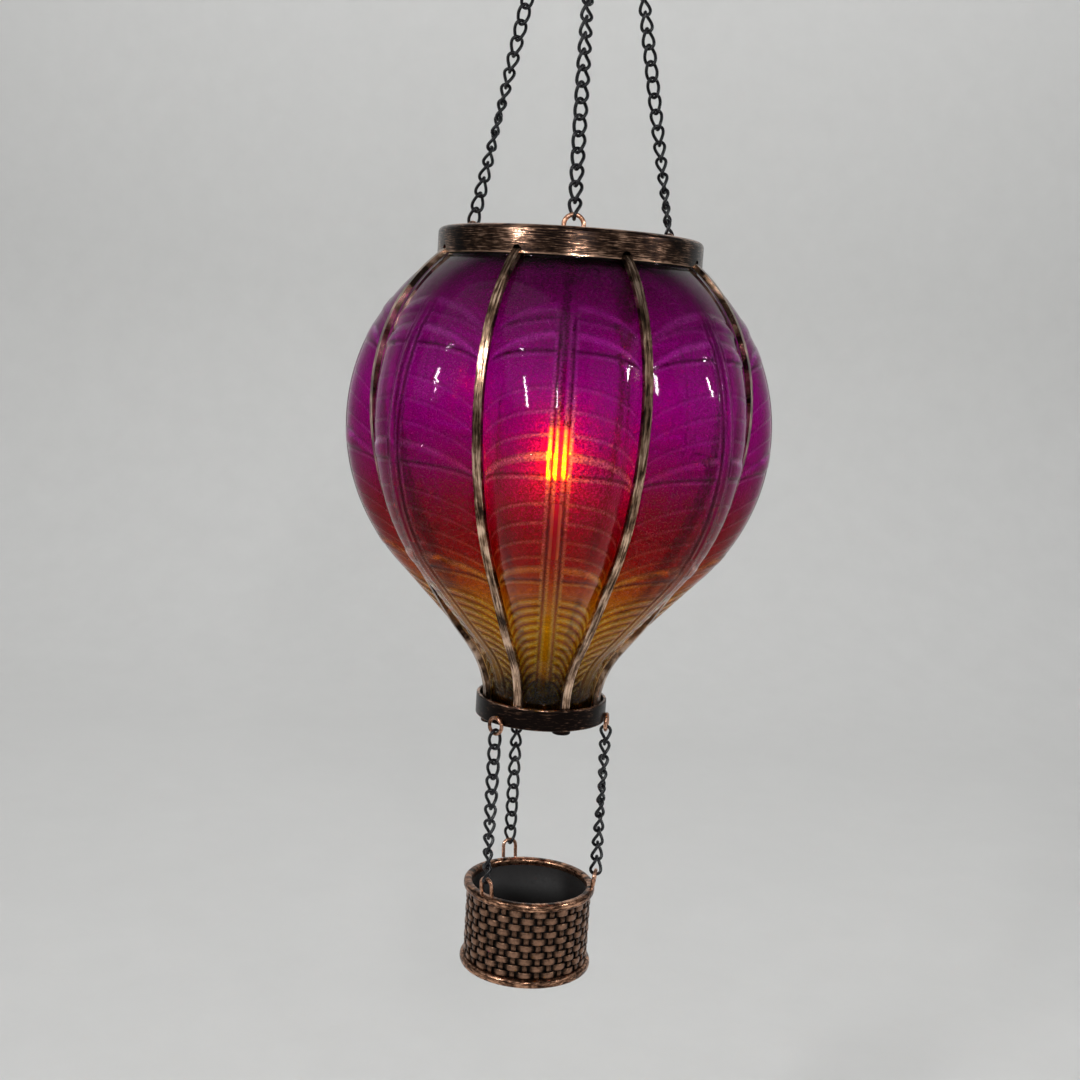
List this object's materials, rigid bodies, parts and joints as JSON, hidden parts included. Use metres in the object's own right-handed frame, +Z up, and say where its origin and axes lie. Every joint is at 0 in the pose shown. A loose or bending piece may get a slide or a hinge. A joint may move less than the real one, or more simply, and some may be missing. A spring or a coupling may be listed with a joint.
{
  "type": "hanging solar lantern",
  "caption": "Hot-air-balloon lantern: lobed glass envelope with metal ribs and cap, solar lid and lamp, hung on chains from a hook, with a basket swinging below.",
  "frame": {"origin": "point inside the hook's crook that bears on the nail or bracket", "axes": "+Z up; -Y is the front, where one upper chain and the middle of one gore face; the hook lies in the YZ plane"},
  "size_m": [0.17, 0.17, 0.5595],
  "materials": {
    "aged_copper": "glossy antiqued copper, dark patina with brushed copper streaks",
    "rib_bronze": "satin antiqued bronze",
    "base_bronze": "dark oil-rubbed bronze with copper edges",
    "loop_copper": "bare copper wire",
    "black_chain": "gloss black enamel",
    "balloon_glass": "coloured embossed glass, purple above running to amber below",
    "basket_copper": "antiqued copper weave with dark recesses",
    "rubber": "matt black rubber",
    "black_plastic": "fine-grained black plastic",
    "solar_blue": "dark blue solar cell with fine silver lines",
    "clear_cover": "clear cover",
    "board": "green circuit board",
    "battery_steel": "nickel plated cell",
    "contact": "sprung brass strip",
    "screw_steel": "dark steel screws",
    "lamp_glass": "frosted warm lamp cover",
    "led_clear": "clear LED lens"
  },
  "bodies": {
    "hook": {"hanging_hook": "black_chain"},
    "ring": {"gather_ring": "black_chain"},
    "balloon": {"upper_chain_front": "black_chain", "upper_chain_left": "black_chain", "upper_chain_right": "black_chain", "cap_ring": "aged_copper", "cap_deck": "aged_copper", "cap_eyelets": "loop_copper", "top_gasket": "rubber", "glass_envelope": "balloon_glass", "bottom_gasket": "rubber", "rib_beads": "rib_bronze", "bottom_ring": "base_bronze", "bottom_plate": "base_bronze", "base_screws": "base_bronze", "lower_eyelets": "loop_copper", "rib_1": "rib_bronze", "rib_2": "rib_bronze", "rib_3": "rib_bronze", "rib_4": "rib_bronze", "rib_5": "rib_bronze", "rib_6": "rib_bronze", "rib_7": "rib_bronze", "rib_8": "rib_bronze"},
    "solar_lid": {"lid_housing": "black_plastic", "lid_seal": "rubber", "solar_cell": "solar_blue", "solar_cover": "clear_cover", "lid_base": "black_plastic", "battery": "battery_steel", "battery_contacts": "contact", "battery_cover": "black_plastic", "cover_screws": "screw_steel", "circuit_board": "board", "switch_body": "black_plastic", "lamp_boss": "screw_steel", "lamp_stem": "screw_steel", "led_socket": "black_plastic", "led": "led_clear", "lamp_globe": "lamp_glass"},
    "switch": {"switch_slider": "black_plastic"},
    "basket": {"basket_top_rim": "basket_copper", "basket_bottom_rim": "basket_copper", "basket_wall": "basket_copper", "basket_floor": "basket_copper", "basket_loops": "loop_copper"},
    "a_top_link": {"chain_a_top_link": "black_chain"},
    "a_chain": {"chain_a_run": "black_chain"},
    "a_bottom_link": {"chain_a_bottom_link": "black_chain"},
    "b_top_link": {"chain_b_top_link": "black_chain"},
    "b_chain": {"chain_b_run": "black_chain"},
    "b_bottom_link": {"chain_b_bottom_link": "black_chain"},
    "c_top_link": {"chain_c_top_link": "black_chain"},
    "c_chain": {"chain_c_run": "black_chain"},
    "c_bottom_link": {"chain_c_bottom_link": "black_chain"}
  },
  "joints": [
    {"name": "ring_swing", "type": "hinge", "parent": "hook", "child": "ring", "pos_m": [0, 0, -0.0438], "axis": [0, 1, 0], "range_deg": [-25, 25]},
    {"name": "lantern_swing", "type": "hinge", "parent": "ring", "child": "balloon", "pos_m": [0, 0, -0.06148], "axis": [1, 0, 0], "range_deg": [-25, 25]},
    {"name": "lid_lift", "type": "slide", "parent": "balloon", "child": "solar_lid", "axis": [0, 0, 1], "range_m": [0, 0.02]},
    {"name": "switch_slide", "type": "slide", "parent": "solar_lid", "child": "switch", "axis": [1, 0, 0], "range_m": [0, 0.003]},
    {"name": "a_sway_y", "type": "hinge", "parent": "balloon", "child": "a_top_link", "pos_m": [-0.01768, -0.02107, -0.45269], "axis": [1, 0, 0], "range_deg": [-15, 15]},
    {"name": "a_sway_x", "type": "hinge", "parent": "a_top_link", "child": "a_chain", "pos_m": [-0.01768, -0.02107, -0.45886], "axis": [0, 1, 0], "range_deg": [-15, 15]},
    {"name": "a_foot_x", "type": "hinge", "parent": "a_chain", "child": "a_bottom_link", "pos_m": [-0.01768, -0.02107, -0.50846], "axis": [0, 1, 0], "range_deg": [-15, 15]},
    {"name": "a_foot_y", "type": "hinge", "parent": "a_bottom_link", "child": "basket", "pos_m": [-0.01768, -0.02107, -0.51462], "axis": [1, 0, 0], "range_deg": [-15, 15]},
    {"name": "b_sway_y", "type": "hinge", "parent": "balloon", "child": "b_top_link", "pos_m": [0.02708, -0.00477, -0.45269], "axis": [1, 0, 0], "range_deg": [-15, 15]},
    {"name": "b_sway_x", "type": "hinge", "parent": "b_top_link", "child": "b_chain", "pos_m": [0.02708, -0.00477, -0.45886], "axis": [0, 1, 0], "range_deg": [-15, 15]},
    {"name": "b_foot_x", "type": "hinge", "parent": "b_chain", "child": "b_bottom_link", "pos_m": [0.02708, -0.00477, -0.50846], "axis": [0, 1, 0], "range_deg": [-15, 15]},
    {"name": "c_sway_y", "type": "hinge", "parent": "balloon", "child": "c_top_link", "pos_m": [-0.00941, 0.02584, -0.45269], "axis": [1, 0, 0], "range_deg": [-15, 15]},
    {"name": "c_sway_x", "type": "hinge", "parent": "c_top_link", "child": "c_chain", "pos_m": [-0.00941, 0.02584, -0.45886], "axis": [0, 1, 0], "range_deg": [-15, 15]},
    {"name": "c_foot_x", "type": "hinge", "parent": "c_chain", "child": "c_bottom_link", "pos_m": [-0.00941, 0.02584, -0.50846], "axis": [0, 1, 0], "range_deg": [-15, 15]}
  ],
  "couplings": [
    {"joint": "a_foot_x", "follows": "a_sway_x", "ratio": -1},
    {"joint": "a_foot_y", "follows": "a_sway_y", "ratio": -1},
    {"joint": "b_sway_y", "follows": "a_sway_y", "ratio": 1},
    {"joint": "b_sway_x", "follows": "a_sway_x", "ratio": 1},
    {"joint": "b_foot_x", "follows": "a_sway_x", "ratio": -1},
    {"joint": "c_sway_y", "follows": "a_sway_y", "ratio": 1},
    {"joint": "c_sway_x", "follows": "a_sway_x", "ratio": 1},
    {"joint": "c_foot_x", "follows": "a_sway_x", "ratio": -1}
  ]
}
